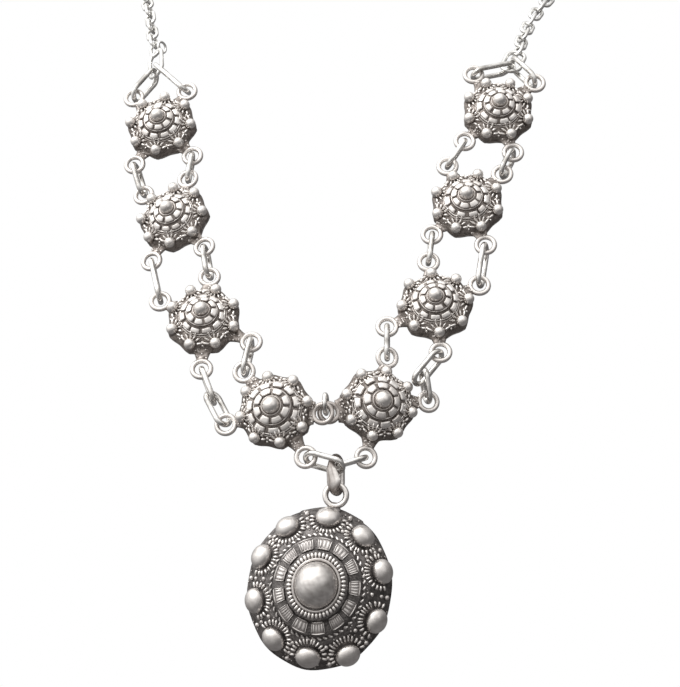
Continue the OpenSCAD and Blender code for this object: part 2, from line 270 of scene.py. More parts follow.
class Relief:
    """A domed ground with a wall and a flat back, in its own frame with z outwards.

    profile is [radius, height] from the middle to the foot of the wall, and oval is the width over
    the height. The rim has scallops, dip deep and lobes in number, between the angles
    phase + 360 k / lobes. They begin at the share blend_from of the radius.
    """

    def __init__(self, profile, oval, lobes, dip, phase, blend_from):
        self.r, self.z = np.array(profile, float).T
        self.oval = oval
        self.lobes = lobes
        self.dip = dip
        self.phase = phase
        self.blend_from = blend_from
        self.fine = np.linspace(0, self.r[-1], FINE_STEPS)
        window = 2 * SOFTEN + 1
        padded = np.pad(self.height(self.fine), SOFTEN, mode="edge")
        self.slope = np.gradient(np.convolve(padded, np.ones(window) / window, "valid"), self.fine)

    def height(self, r):
        return np.interp(r, self.r, self.z)

    def at(self, x, y, h=0.0):
        """The point over x, y at the height h above the ground, along its normal."""
        x, y = np.asarray(x, float), np.asarray(y, float)
        round_x = x / self.oval
        r = np.hypot(round_x, y)
        slope = np.interp(r, self.fine, self.slope)
        safe = np.maximum(r, 1e-6)  # not 0, since it divides
        n = np.stack([-slope * round_x / safe, -slope * y / safe, np.ones_like(r)], -1)
        n /= np.linalg.norm(n, axis=-1)[..., None]
        return np.stack([x, y, self.height(r)], -1) + np.asarray(h)[..., None] * n

    def polar(self, r, angle, h=0.0):
        a = np.radians(angle)
        return self.at(r * np.cos(a) * self.oval, r * np.sin(a), h)

    def edge(self, angle):
        """The scalloped rim's radius, as a share of the full one."""
        wave = 0.5 - 0.5 * np.cos(np.radians(self.lobes * (angle - self.phase)))
        return 1 - self.dip / self.r[-1] * wave

    def ground(self, piece, tone, rows, cols, rough, seed):
        """The dome's skin and its wall, and then its back. Each layer of noise has its own seed."""
        angle = np.arange(cols) * 360 / cols
        a = np.radians(angle)
        share = np.linspace(FIRST_RING, 1, rows) ** RING_SPREAD
        r = share * self.r[-2]
        pull = np.clip((share - self.blend_from) / (1 - self.blend_from), 0, 1)[:, None]
        scale = 1 - pull * (1 - self.edge(angle))[None, :]
        x = r[:, None] * scale * np.cos(a) * self.oval
        y = r[:, None] * scale * np.sin(a)
        skin = np.stack([x, y, np.repeat(self.height(r)[:, None], cols, 1)], -1)
        skin[..., 2] += rough * noise(skin, ROUGH_SCALE, seed)
        skin_tone = tone * (1 + clouds(skin, SKIN_CLOUDS, seed + 3))

        down = np.linspace(1, 0, WALL_STEPS + 1)[1:, None, None]
        wall = np.repeat(skin[-1:], WALL_STEPS, 0)
        wall[..., 2:] *= down
        wall[..., :2] *= 1 - WALL_TAPER * (1 - down)
        wall_tone = WALL_POLISH * tone + clouds(wall, WALL_CLOUDS, seed + 1)
        p = np.concatenate([skin, wall])
        piece.grid(p[::-1], np.concatenate([skin_tone, wall_tone])[::-1], last=True)

        back = wall[-1] * [1, 1, 0] * BACK_RINGS[:, None, None]
        back[BACK_EDGE_RINGS:, :, 2] += BACK_DISH
        back_tone = (BACK_TONE + clouds(back, BROAD_BACK_CLOUDS, seed + 5)
                     + clouds(back, FINE_BACK_CLOUDS, seed + 9))
        piece.grid(back, back_tone, last=True)


# Small buttons

class Button(NamedTuple):
    """A button's place from the front's centre, its pose, and its eyelets as (angle, reach)."""
    x: float
    y: float
    z: float
    lean: float  # the face tipped upwards
    turn: float  # the face swung towards +X
    first_ball: float  # the angle of the first of the rim's balls
    eyelets: tuple


BUTTONS = {
    "button_l1": Button(-32.2, 16.6, 54.6, 15, -2, -4, ((131, 9.0), (62, 8.8), (-120, 9.0), (-46, 8.9))),
    "button_l2": Button(-28.3, 10.7, 35.5, 17, -10, 4, ((140, 8.7), (80, 8.5), (-111, 9.0), (-44, 8.9))),
    "button_l3": Button(-21.6, 3.7, 15.5, 19, 2, 25, ((153, 8.8), (87, 8.8), (-89, 9.4), (-27, 9.4))),
    "button_l4": Button(-8.3, -1.6, -0.9, 7, -4, 12, ((-166, 8.6), (129, 8.9), (-56, 9.5), (-4, 8.0))),
    "button_r4": Button(8.2, 2.0, 0.4, 6, 17, -14, ((6, 8.9), (77, 8.6), (-104, 9.2), (-170, 8.5))),
    "button_r3": Button(18.2, 4.9, 17.6, 17, 2, 6, ((28, 8.6), (97, 8.8), (-85, 8.8), (-155, 9.1))),
    "button_r2": Button(23.9, 10.8, 36.9, 16, -1, 25, ((45, 8.8), (113, 8.9), (-69, 8.7), (-137, 8.5))),
    "button_r1": Button(29.6, 16.0, 55.5, 14, 4, 21, ((42, 9.4), (117, 9.2), (-74, 8.7), (-136, 8.6))),
}
# Steps of the dome, [radius, height], from the middle to the foot of the wall
BUTTON_PROFILE = [(0, 4.6), (1.5, 4.5), (2.95, 4.0), (3.15, 3.45), (4.3, 2.95), (4.5, 2.4),
                  (5.4, 1.75), (6.2, 1.1), (6.5, 0.75), (6.52, 0)]
CORE_R = 4.5  # how far out the steps and rings of blocks reach
FULL_CORES = ("button_l4", "button_r4")
SMALL_CORE = 0.87  # the core's scale on the other buttons

TOP_BALL_R, TOP_BALL_HALF_H, TOP_BALL_Z = 1.4, 1.35, 4.9
TOP_RING_R, TOP_RING_Z, TOP_RING_WIRE = 1.62, 4.56, 0.12
# Rings of blocks: how many, radius, half length, half width as an angle, angle of the first
BLOCK_RINGS = ((8, 2.42, 0.5, 19.5, 10), (11, 3.78, 0.48, 13.6, 0))
BLOCK_HEIGHT = 0.36
# How uneven the blocks are: in angle and height, and the ranges of their size and polish
BLOCK_SHIFT, BLOCK_RISE, BLOCK_SIZES, BLOCK_POLISH = 2, 0.08, (0.9, 1.05), (0.7, 1.0)
# Fine rings beside the blocks: radius, height above the back, wire, tone
FINE_RINGS = ((3.06, 3.82, 0.1, 0.6), (4.4, 2.78, 0.13, 0.75), (4.68, 2.42, 0.1, 0.5))

BALL_COUNT, BALL_RING, BALL_R, BALL_Z = 8, 5.7, 0.96, 2.3
BALL_TONE = 0.84
BALL_STEP = 360 / BALL_COUNT
POST_RINGS = ((0.8, 0.0), (0.8, 1.5), (0.62, 1.9))  # [radius, height] of the post under a ball
POST_TONE = 0.3
RAY_ANGLES = (-62, -37, -12, 12, 37, 62)  # from straight inward
RAY_REACH, RAY_HALF_LEN, RAY_HALF_W, RAY_HEIGHT = 1.5, 0.5, 0.2, 0.5
RAY_UNEVEN = 0.05
GAP_GRANULES = ((4.95, 0.27), (5.45, 0.22))  # [radius, size] of the granules between two fans
GAP_GRANULE_LIFT = 0.06
STREWN_COUNT, STREWN_RADII, STREWN_SIZES = 36, (4.7, 5.8), (0.08, 0.14)

EYE_R, EYE_WIRE, EYE_Z = 1.57, 0.43, 0.7
WEB_START, WEB_SHORT = 5.2, 1.38  # where an eyelet's web begins, and how far short of the reach it ends
WEB_SPREAD, WEB_SPREAD_POWER = 1.15, 1.7
WEB_HALF_D, WEB_SWELL = 0.38, 0.14
WEB_TONE, WEB_CLOUDS = 0.14, (0.26, 3.4)
WEB_END_FROM, WEB_END_POLISH = 0.6, 0.12  # the outer end of the web is more worn
WEB_TONES = (0.05, 0.7)
WEB_STREWN = ((0.0, 0.85), (-0.8, 0.8), (0.13, 0.26))  # ranges along and across the web, and of size


class Eyelet(NamedTuple):
    """How an eyelet and its web look."""
    half_width: float  # of the web at its outer end
    tone: float
    granules: int


PLAIN_EYE = Eyelet(0.95, 0.7, 11)
# The centre eyelets: broader webs, more granules, and a ring painted darker, as shade where the two centre
# buttons overlap
SHADED_TAB_EYE = Eyelet(1.95, 0.45, 16)
TAB_EYES = (("button_l4", -4), ("button_r4", -170))  # on broad dark tabs, in the centre ring; their rings are painted darker, as shade


def button_blocks(piece, dome, core, first_ball, rng):
    """Rings of flat blocks, each a little uneven in place, height and wear, with fine rings."""
    for count, radius, half_r, half_angle, first in BLOCK_RINGS:
        for k in range(count):
            angle = first_ball + first + 360 * k / count + rng.uniform(-BLOCK_SHIFT, BLOCK_SHIFT)
            length = half_r * core * rng.uniform(*BLOCK_SIZES)
            width = half_angle * rng.uniform(*BLOCK_SIZES)
            height = BLOCK_HEIGHT + rng.uniform(-BLOCK_RISE, BLOCK_RISE)
            polar_pad(piece, dome, radius * core, angle, length, width, height,
                      corner=5, crown=4, cols=36, high=rng.uniform(*BLOCK_POLISH))
    for radius, z, wire, tone in FINE_RINGS:
        torus(piece, z * Z_AXIS, X_AXIS, Y_AXIS, radius * core, wire, tone, around=72)


def rim_ball(piece, dome, core, angle, rng):
    """A ball on its post, with a fan of rays on its inner side and granules beside the fan."""
    a = math.radians(angle)
    out = np.array([math.cos(a), math.sin(a)])
    side = np.array([-math.sin(a), math.cos(a)])
    foot = BALL_RING * out
    turn = circle(16)
    post = [np.stack([r * np.cos(turn) + foot[0], r * np.sin(turn) + foot[1], np.full_like(turn, z)], -1)
            for r, z in POST_RINGS]
    piece.grid(np.array(post), POST_TONE)
    ball(piece, (*foot, BALL_Z), (BALL_R,) * 3, BALL_TONE)
    longer = 1 - core  # the rays fill what a small core leaves
    for aside in np.radians(RAY_ANGLES):
        way = -math.cos(aside) * out + math.sin(aside) * side
        reach = RAY_REACH + longer + rng.uniform(-RAY_UNEVEN, RAY_UNEVEN)
        straight_pad(piece, dome, foot + reach * way, way, RAY_HALF_LEN + longer, RAY_HALF_W, RAY_HEIGHT,
                     corner=2.3, crown=2.2, cols=14, low=0.4)
    for radius, size in GAP_GRANULES:
        middle = dome.polar(radius, angle + BALL_STEP / 2, GAP_GRANULE_LIFT)
        granule(piece, middle, size, tone=0.8, rows=9, cols=12)


def eyelet(piece, angle, reach, look, seed, rng):
    """A loop of wire on a web that spreads into the rim, strewn with granules."""
    a = math.radians(angle)
    out = np.array([math.cos(a), math.sin(a), 0])
    side = np.array([-out[1], out[0], 0])
    level = EYE_Z * Z_AXIS
    torus(piece, reach * out + level, X_AXIS, Y_AXIS, EYE_R, EYE_WIRE, look.tone, around=56, sides=16)

    def middle(t):
        return (WEB_START + t * (reach - WEB_SHORT - WEB_START)) * out

    def half_width(t):
        return look.half_width + WEB_SPREAD * (1 - t) ** WEB_SPREAD_POWER

    def half_depth(t):
        return WEB_HALF_D + WEB_SWELL * (1 - t)

    turn = circle(20)
    run = np.linspace(0, 1, 9)
    web = np.array([middle(t) + level + np.cos(turn)[:, None] * half_width(t) * side
                    + np.sin(turn)[:, None] * half_depth(t) * Z_AXIS for t in run])
    end_polish = WEB_END_POLISH * (run > WEB_END_FROM)[:, None]
    tone = WEB_TONE + clouds(web, WEB_CLOUDS, seed + angle) + end_polish
    piece.grid(web, np.clip(tone, *WEB_TONES), first=True, last=True)
    for _ in range(look.granules):
        t, b, size = (rng.uniform(*limits) for limits in WEB_STREWN)
        lift = EYE_Z + half_depth(t) * math.sqrt(1 - b * b)
        at = middle(t) + b * half_width(t) * side + lift * Z_AXIS
        granule(piece, at, size, tone=0.62, rows=8, cols=11)


def button(name, seed):
    b = BUTTONS[name]
    core = 1.0 if name in FULL_CORES else SMALL_CORE
    profile = [(r * core if r <= CORE_R else r, z) for r, z in BUTTON_PROFILE]
    dome = Relief(profile, oval=1.0, lobes=BALL_COUNT, dip=0.5, phase=b.first_ball, blend_from=0.72)
    rng = np.random.default_rng(int(seed * 10) + 5)  # its own draws for each button
    piece = Piece()
    dome.ground(piece, tone=0.17, rows=56, cols=144, rough=0.05, seed=seed)
    top_radii = (TOP_BALL_R * core, TOP_BALL_R * core, TOP_BALL_HALF_H)
    ball(piece, TOP_BALL_Z * Z_AXIS, top_radii, BALL_TONE, rows=21, cols=36)
    torus(piece, TOP_RING_Z * Z_AXIS, X_AXIS, Y_AXIS, TOP_RING_R * core, TOP_RING_WIRE, tone=0.45)
    button_blocks(piece, dome, core, b.first_ball, rng)
    for k in range(BALL_COUNT):
        rim_ball(piece, dome, core, b.first_ball + BALL_STEP * k, rng)
    for _ in range(STREWN_COUNT):
        radius, angle = rng.uniform(*STREWN_RADII), rng.uniform(0, 360)
        granule(piece, dome.polar(radius, angle, GRANULE_LIFT), rng.uniform(*STREWN_SIZES), tone=0.7)
    for angle, reach in b.eyelets:
        look = SHADED_TAB_EYE if (name, angle) in TAB_EYES else PLAIN_EYE
        eyelet(piece, angle, reach, look, seed, rng)

    def place(p):
        return FRONT + [b.x, b.y, b.z] + turned_z(turned_x(p, 90 - b.lean), b.turn)
    return piece.build(name + "_filigree", place)


# Places of the bail and the pendant

BAIL_WIRE, BAIL_HALF_W, BAIL_HALF_LEN = 0.6, 1.95, 2.9
BAIL_TURN = 20  # away from edge-on
BAIL_TOP = FRONT + [1.8, -2.2, -10.5]  # the middle of the bail's upper bend
BAIL_MIDDLE = BAIL_TOP - (BAIL_HALF_LEN - BAIL_HALF_W) * Z_AXIS
HANG = BAIL_MIDDLE - BAIL_HALF_LEN * Z_AXIS  # the middle of the wire that holds the pendant's loop
HANG_GAP = 0.15  # between that wire and the loop

LOOP_R, LOOP_WIRE, LOOP_Z = 1.72, 0.5, 1.6
LOOP_DROP = LOOP_R - LOOP_WIRE - BAIL_WIRE - HANG_GAP  # from the hanging place to the loop's middle
NECK = 0.25  # from the loop to the pendant's rim
PEND_R = 13.2  # half the height of the pendant's outline
PEND_DROP = LOOP_DROP + LOOP_R + PEND_R + NECK
PEND_LEAN = 10  # the pendant's lower end towards -X
PEND_SHEAR = 0.07  # how far the relief leans upwards, over its height
SHEAR_FROM = 1.5  # the height above the back where that begins
BODY_SHIFT = (-0.04, -0.22)  # the body against its loop, as in the photograph


# Pendant

PEND_OVAL = 0.905  # the width over the height
# Steps of the dome on its long axis, [radius, height]
PEND_PROFILE = [(0, 7.1), (3.9, 7.05), (5.65, 6.75), (5.85, 6.2), (7.95, 5.6), (8.2, 5.0), (9.35, 4.55),
                (10.3, 3.7), (12.3, 2.1), (13.15, 1.35), (PEND_R, 0)]
# Middles of the ten balls, as they sit round the rim of this uneven hand-made piece
PEND_BALLS = [(-0.35, 11.0), (5.55, 9.05), (9.5, 4.2), (9.85, -3.5), (6.35, -9.45), (0.3, -10.85),
              (-5.5, -9.05), (-9.5, -3.75), (-9.7, 3.25), (-6.5, 8.5)]
BOSS_RADII, BOSS_Z = (3.46, 3.72, 3.7), 7.4
FOOT_RING_R, FOOT_RING_LIFT, FOOT_RING_WIRE = 4.12, 0.16, 0.25
BEAD_COUNT, BEAD_RING, BEAD_HALF_R, BEAD_HALF_ANGLE, BEAD_HEIGHT = 46, 4.78, 0.48, 3.75, 0.45
ROPE_COUNT, ROPE_RING, ROPE_HALF_R, ROPE_HALF_ANGLE, ROPE_HEIGHT = 52, 8.3, 0.19, 2.9, 0.3
ROPE_SLANT = 0.05

PLATE_COUNT, PLATE_RING = 13, 6.62  # the framed and ribbed plates round the beads
PLATE_HALF_R, PLATE_HALF_ANGLE, PLATE_HEIGHT = 0.95, 10.4, 0.34
ON_PLATE = 0.26  # the height at which a plate's ribs and frame stand
RIB_HALF_R, RIB_SPAN, RIB_SHARE = 0.7, 1.62, 0.64
# The sides of a plate's frame: offset outwards, offset along, half length outwards and along. Those
# along are shares of the plate's half angle.
FRAME_SIDES = ((0.84, 0, 0.1, 0.9), (-0.84, 0, 0.1, 0.9), (0, 0.9, 0.82, 0.08), (0, -0.9, 0.82, 0.08))
DETAIL_HEIGHT = 0.2  # of the ribs and the frame
# How uneven the plates are: in angle, and the ranges of polish, half angle and the ribs' height
PLATE_SHIFT, PLATE_POLISH, PLATE_SPREAD, RIB_RISE = 1.2, (0.5, 0.9), (-0.8, 0.6), (-0.06, 0.05)
FRAME_POLISH = 0.1  # the frame's tone over the ribs'

RIM_BALL_RADII, RIM_BALL_LIFT = (2.06, 1.94, 1.5), 0.45
RIM_BALL_TIP = 50  # outward lean of a ball on the slope
COLLAR_ANGLES = np.arange(-91, 92, 14)  # of the ridges round a ball, from straight inward
COLLAR_SHIFT = 2  # how far a ridge may be out of its angle
COLLAR_REACH, COLLAR_FLAT = 2.62, 0.84
RIDGE_HALF_LEN, RIDGE_HALF_W, RIDGE_HEIGHT = 0.5, 0.2, 0.46
BETWEEN_GRANULES = ((12.25, 0.42), (11.3, 0.34), (9.7, 0.36))  # [radius, size] between two collars
BETWEEN_LIFT, BETWEEN_FLAT = 0.1, 0.8
PEND_STREWN_COUNT, PEND_STREWN_RADII, PEND_STREWN_SIZES = 240, (8.1, 12.9), (0.1, 0.19)
NECK_RINGS = ((12.4, 1.5), (12.9, 1.25), (13.4, 1.0), (14.0, 0.8))  # [y, half width] of the loop's neck
NECK_HALF_D, NECK_Z = 0.5, LOOP_Z - 0.2


def boss(piece, dome):
    """The large ball, with a smooth ring and a beaded one round its foot."""
    ball(piece, BOSS_Z * Z_AXIS, BOSS_RADII, tone=0.72, rows=61, cols=96, mottle=0.16)
    for k in range(BEAD_COUNT):
        polar_pad(piece, dome, BEAD_RING, 360 * k / BEAD_COUNT, BEAD_HALF_R, BEAD_HALF_ANGLE, BEAD_HEIGHT,
                  corner=2.6, crown=2.2, cols=14, low=0.3)
    tube(piece, dome.polar(FOOT_RING_R, np.arange(0, 360, 4), FOOT_RING_LIFT), FOOT_RING_WIRE, tone=0.6)


def plate(piece, dome, k, rng):
    """One framed plate with its ribs. Every plate is a little uneven, and they have 3 to 5 ribs."""
    angle = 90 + 360 * k / PLATE_COUNT + rng.uniform(-PLATE_SHIFT, PLATE_SHIFT)
    polish = rng.uniform(*PLATE_POLISH)
    half = PLATE_HALF_ANGLE + rng.uniform(*PLATE_SPREAD)
    polar_pad(piece, dome, PLATE_RING, angle, PLATE_HALF_R, half, PLATE_HEIGHT,
              corner=5, crown=4, cols=40, low=0.15, high=0.45)
    ribs = 3 + k % 3
    for j in range(ribs):
        offset = (j - (ribs - 1) / 2) * RIB_SPAN * half / ribs
        height = DETAIL_HEIGHT + rng.uniform(*RIB_RISE)
        polar_pad(piece, dome, PLATE_RING, angle + offset, RIB_HALF_R, RIB_SHARE * half / ribs, height,
                  lift=ON_PLATE, corner=3.4, crown=2.5, cols=16, low=0.25, high=polish)
    for outwards, onwards, half_r, half_share in FRAME_SIDES:
        polar_pad(piece, dome, PLATE_RING + outwards, angle + onwards * half, half_r, half_share * half,
                  DETAIL_HEIGHT, lift=ON_PLATE, corner=4, crown=2.4, cols=20,
                  low=0.3, high=polish + FRAME_POLISH)


def collared_ball(piece, dome, middle, rng):
    """A ball on the slope of the dome, in a collar of ridges on its inner side."""
    out = unit([middle[0] / PEND_OVAL ** 2, middle[1], 0.0])
    side = np.array([-out[1], out[0], 0.0])
    tip = math.radians(RIM_BALL_TIP)
    n = unit(out * math.sin(tip) + Z_AXIS * math.cos(tip))
    axes = np.stack([side, np.cross(n, side), n])
    centre = dome.at(*middle) + RIM_BALL_LIFT * n
    ball(piece, centre, RIM_BALL_RADII, tone=0.74, axes=axes, rows=25, cols=40, mottle=0.1)
    for angle in COLLAR_ANGLES:
        aside = math.radians(angle + rng.uniform(-COLLAR_SHIFT, COLLAR_SHIFT))
        way = -math.cos(aside) * out[:2] + math.sin(aside) * side[:2]
        reach = COLLAR_REACH * math.hypot(COLLAR_FLAT * math.cos(aside), math.sin(aside))
        straight_pad(piece, dome, middle + reach * way, way, RIDGE_HALF_LEN, RIDGE_HALF_W, RIDGE_HEIGHT,
                     corner=2.6, crown=2.2, cols=12, low=0.35)


def between_balls(piece, dome, here, after):
    """Flattened granules on the line out between two of the rim's balls."""
    middle = (here + after) / 2
    middle = middle / math.hypot(middle[0] / PEND_OVAL, middle[1])
    for radius, size in BETWEEN_GRANULES:
        centre = dome.at(*(middle * radius), BETWEEN_LIFT)
        ball(piece, centre, (size, size, size * BETWEEN_FLAT), tone=0.65, rows=9, cols=14)


def hanging_loop(piece):
    """The loop on its short neck."""
    middle = [0, PEND_DROP - LOOP_DROP, LOOP_Z]
    torus(piece, middle, X_AXIS, Y_AXIS, LOOP_R, LOOP_WIRE, tone=0.95, around=64, sides=18)
    turn = circle(16)
    neck = []
    for y, half_w in NECK_RINGS:
        ring = [half_w * np.cos(turn), np.full_like(turn, y), NECK_Z + NECK_HALF_D * np.sin(turn)]
        neck.append(np.stack(ring, -1))
    piece.grid(np.array(neck)[::-1], tone=0.35)


def pendant():
    dome = Relief(PEND_PROFILE, PEND_OVAL, lobes=10, dip=0.16, phase=90, blend_from=0.86)
    rng = np.random.default_rng(11)
    piece = Piece()
    dome.ground(piece, tone=0.15, rows=84, cols=240, rough=0.08, seed=2.0)
    boss(piece, dome)
    for k in range(PLATE_COUNT):
        plate(piece, dome, k, rng)
    for k in range(ROPE_COUNT):
        polar_pad(piece, dome, ROPE_RING, 360 * k / ROPE_COUNT, ROPE_HALF_R, ROPE_HALF_ANGLE, ROPE_HEIGHT,
                  slant=ROPE_SLANT, corner=2.3, crown=2.2, cols=12, low=0.3)
    middles = np.array(PEND_BALLS)
    for middle in middles:
        collared_ball(piece, dome, middle, rng)
    for here, after in zip(middles, np.roll(middles, -1, 0)):
        between_balls(piece, dome, here, after)
    for _ in range(PEND_STREWN_COUNT):
        radius, angle = math.sqrt(rng.uniform(*np.square(PEND_STREWN_RADII))), rng.uniform(0, 360)
        granule(piece, dome.polar(radius, angle, GRANULE_LIFT), rng.uniform(*PEND_STREWN_SIZES), tone=0.5)
    hanging_loop(piece)

    def place(p):
        p = p - [0, PEND_DROP, LOOP_Z]
        body = p[:, 1] < -LOOP_DROP - 2 * LOOP_R
        p[:, 1] += PEND_SHEAR * np.clip(p[:, 2] + LOOP_Z - SHEAR_FROM, 0, None) * body
        p[:, :2] += np.array(BODY_SHIFT) * body[:, None]
        return HANG + turned_x(turned_z(p, -PEND_LEAN), 90)
    return piece.build("pendant_filigree", place)


# Bail

# The front limb swells and slides aside along the bail: by how much, about what height, how far
SWELL, SWELL_AT, SWELL_REACH = 1.6, -0.7, 1.7
SLIDE, SLIDE_AT, SLIDE_REACH = 0.5, -1.0, 1.4
BROADER, THINNER, FLATTER = 0.42, 0.08, 0.22  # what the swell does to the wire's section
# The tone: painted shade at the ends, a painted highlight between them, and dark streaks of painted
# reflection along the strap
BAIL_END_SHADE, BAIL_HIGHLIGHT, BAIL_CLOUDS, BAIL_SEED = 0.16, 0.52, (0.25, 1.7), 4.0
FADE_LOW, FADE_HIGH, FADE_LEN = -3.1, 2.7, 2.2
REFLECTION_STREAK_DEPTH = 0.28
REFLECTION_STREAKS = ((1.0, 0.45, 0.16), (0.7, -0.2, 0.12))  # share of the depth, place across, width


def bell(x, middle, width, power=2):
    """A bell curve. A higher power makes its top flatter and its sides steeper."""
    return np.exp(-((x - middle) / width) ** power)


def bail():
    """A strap bent into an oval: round at its ends, where it meets the rings, and broad in front."""
    turn = math.radians(-BAIL_TURN)
    w = np.array([-math.sin(turn), math.cos(turn), 0])  # backwards, from the front limb to the rear one
    n = np.cross(Z_AXIS, w)  # across the strap
    line = link_path(Z_AXIS, w, BAIL_MIDDLE, BAIL_HALF_LEN, BAIL_HALF_W, bend=40)
    high, side = (line - BAIL_MIDDLE) @ Z_AXIS, (line - BAIL_MIDDLE) @ w
    outward = np.cross(n, along(line))
    swell = SWELL * bell(high, SWELL_AT, SWELL_REACH, 4) * (side < 0)
    slide = SLIDE * bell(high, SLIDE_AT, SLIDE_REACH, 4) * np.minimum(side, 0) / BAIL_HALF_W
    line = line + slide[:, None] * n
    cos, sin = np.cos(circle(24)), np.sin(circle(24))
    flat = 1 - FLATTER * swell[:, None] * bell(sin, 0, 0.3)
    broad = (BAIL_WIRE + BROADER * swell)[:, None] * sin
    deep = (BAIL_WIRE - THINNER * swell)[:, None] * cos * flat
    p = line[:, None, :] + broad[..., None] * n + deep[..., None] * outward[:, None, :]
    # painted highlight between the ends, painted shade at them, and streaks of painted reflection along
    # the strap
    highlight_share = np.clip(np.minimum(high - FADE_LOW, FADE_HIGH - high) / FADE_LEN, 0, 1)[:, None]
    reflection_streaks = sum(share * bell(sin, place, width) for share, place, width in REFLECTION_STREAKS)
    tone = BAIL_END_SHADE + BAIL_HIGHLIGHT * highlight_share + clouds(p, BAIL_CLOUDS, BAIL_SEED) - REFLECTION_STREAK_DEPTH * reflection_streaks
    piece = Piece()
    piece.grid(np.concatenate([p, p[:1]]), np.concatenate([tone, tone[:1]]))
    return piece.build("bail_strap")


# Chain

LINK_LEN, LINK_HALF_W, LINK_WIRE = 3.9, 1.0, 0.35  # outside, a link is 4.6 mm by 2.7 mm
LINK_PLAY = 0.02  # how far the usual pitch is under the longest one, at which links touch
LINK_TONE = 0.9
LINK_ROLL, LINK_SWAY = 45, 9  # the first link's turn about the route, and how far a link may differ
FIRST_OVERLAP = 0.78  # how far the first link reaches back over the end link
ROUTE_STEPS = 12  # points in each stretch of a route
# The routes of part.scad, from the end link to the clasp
ROUTE_L = [(-36, -86.4, -48.2), (-37.2, -83, -44.2), (-38.5, -79, -39.6), (-40.4, -74, -33.5),
           (-45.5, -64, -24.5), (-51, -51, -17), (-54, -37, -11), (-52.5, -23.5, -6.3), (-45, -11.5, -2.6),
           (-31.5, -3, -0.5), (-17, -0.3, 0), (-7, 0, 0)]
ROUTE_R = [(34, -86.6, -50.7), (34.9, -83, -47), (36.8, -78, -41.6), (39.8, -72.5, -35.8),
           (45.5, -63, -26.5), (51, -51, -18), (54, -37, -11.5), (52.5, -23.5, -6.5), (45, -11.5, -2.6),
           (31.5, -3, -0.5), (17, -0.3, 0), (4.1, 0, 0)]


class Chain(NamedTuple):
    """One half of the chain: the end link's upper bend, the route, and where the last link ends."""
    start: tuple  # from the front's centre
    route: list
    end: tuple
    seed: int


CHAINS = {
    "chain_left": Chain((-35.7, 25, 72.8), ROUTE_L, (-5.2, 0, 0), 3),
    "chain_right": Chain((33.7, 24.6, 70.4), ROUTE_R, (2.5, 0, 0), 4),
}
# The small round ring beside the first link on the left
SIDE_RING_AT = FRONT + [-34.53, 25.3, 73.99]
SIDE_RING_R, SIDE_RING_WIRE, SIDE_RING_ALONG = 1.05, 0.24, (0.53, 0.85, 0)


def smooth(points):
    """A curve through the points, as the CAD tube's route."""
    p = np.asarray(points, float)
    p = np.concatenate([[2 * p[0] - p[1]], p, [2 * p[-1] - p[-2]]])
    out = []
    for a, b, c, d in zip(p, p[1:], p[2:], p[3:]):
        for t in np.arange(ROUTE_STEPS) / ROUTE_STEPS:
            out.append((2 * b + (c - a) * t + (2 * a - 5 * b + 4 * c - d) * t * t
                        + (3 * b - a - 3 * c + d) * t ** 3) / 2)
    out.append(p[-2])
    return np.array(out)


def chain(name):
    """Cable links along the route, each a quarter turn from the one before."""
    half = CHAINS[name]
    start = FRONT + half.start
    start = start - FIRST_OVERLAP * unit(np.array(half.route[1]) - start)
    line = smooth([start, *half.route[1:-1], half.end])
    arc = np.concatenate([[0], np.cumsum(np.linalg.norm(np.diff(line, axis=0), axis=1))])
    usual_pitch = LINK_LEN - 2 * LINK_WIRE - LINK_PLAY
    count = int(round((arc[-1] - 2 * LINK_WIRE) / usual_pitch))
    pitch = (arc[-1] - LINK_LEN) / (count - 1)
    rng = np.random.default_rng(half.seed)
    piece = Piece()
    for k in range(count):
        near, far = (np.array([np.interp(at, arc, line[:, i]) for i in range(3)])
                     for at in (k * pitch, k * pitch + LINK_LEN))
        u = unit(far - near)
        side = across(u, Z_AXIS)
        roll = math.radians(LINK_ROLL + 90 * (k % 2) + rng.uniform(-LINK_SWAY, LINK_SWAY))
        w = math.cos(roll) * side + math.sin(roll) * np.cross(u, side)
        path = link_path(u, w, (near + far) / 2, np.linalg.norm(far - near) / 2, LINK_HALF_W)
        tube(piece, path, LINK_WIRE, LINK_TONE, sides=10)
    if name == "chain_left":
        torus(piece, SIDE_RING_AT, SIDE_RING_ALONG, Z_AXIS, SIDE_RING_R, SIDE_RING_WIRE, LINK_TONE)
    return piece.build(name + "_links")


# Materials. The scales of noise are to the metre, and bump distances are metres.

def grey(value):
    return (value, value, value)


DARK, BROWN, MID = (0.135, 0.117, 0.106), (0.335, 0.3, 0.278), (0.68, 0.64, 0.612)
PEND_DARK, PEND_BROWN, PEND_MID = (0.085, 0.079, 0.077), (0.25, 0.231, 0.224), (0.58, 0.55, 0.532)
BRIGHT = (0.87, 0.84, 0.812)
# Colour and roughness by tone
RELIEF_COLOURS = [(0.06, DARK), (0.3, BROWN), (0.58, MID), (0.88, BRIGHT)]
RELIEF_ROUGH = [(0.1, grey(0.52)), (0.5, grey(0.42)), (0.9, grey(0.34))]
PEND_COLOURS = [(0.06, PEND_DARK), (0.3, PEND_BROWN), (0.58, PEND_MID), (0.9, BRIGHT)]
PEND_ROUGH = [(0.1, grey(0.5)), (0.5, grey(0.4)), (0.9, grey(0.31))]
NOISE_MIDDLE = 0.5  # of a noise texture
PATCHES = 0.38  # how far patches of wear lift or lower the tone


def silver(name):
    """A new metal material: its node tree and its shader."""
    mat = bpy.data.materials.new(name)
    mat.use_nodes = True
    tree = mat.node_tree
    tree.nodes.clear()
    out = tree.nodes.new("ShaderNodeOutputMaterial")
    shader = tree.nodes.new("ShaderNodeBsdfPrincipled")
    shader.inputs["Metallic"].default_value = 1.0
    tree.links.new(shader.outputs[0], out.inputs[0])
    return mat, tree, shader


